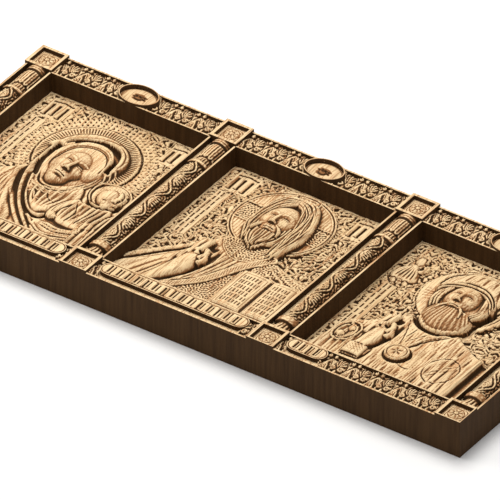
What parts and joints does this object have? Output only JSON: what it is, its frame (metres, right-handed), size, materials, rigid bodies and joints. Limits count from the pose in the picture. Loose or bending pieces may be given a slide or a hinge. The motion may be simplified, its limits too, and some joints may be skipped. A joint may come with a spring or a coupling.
{
  "type": "carved wooden relief icon board",
  "caption": "Long carved wood board with three sunk relief panels of haloed figures, framed by half-columns, foliage rails and square bosses.",
  "frame": {"origin": "middle of the flat back face, on which the board lies", "axes": "+X along the board, +Y towards the figures' heads, +Z out of the carved face"},
  "size_m": [0.6018, 0.2512, 0.0366],
  "materials": {
    "carved_wood": "oiled tan hardwood, stained dark in the hollows and on the upright sides"
  },
  "bodies": {
    "root": {"carved_board": "carved_wood"}
  },
  "joints": []
}
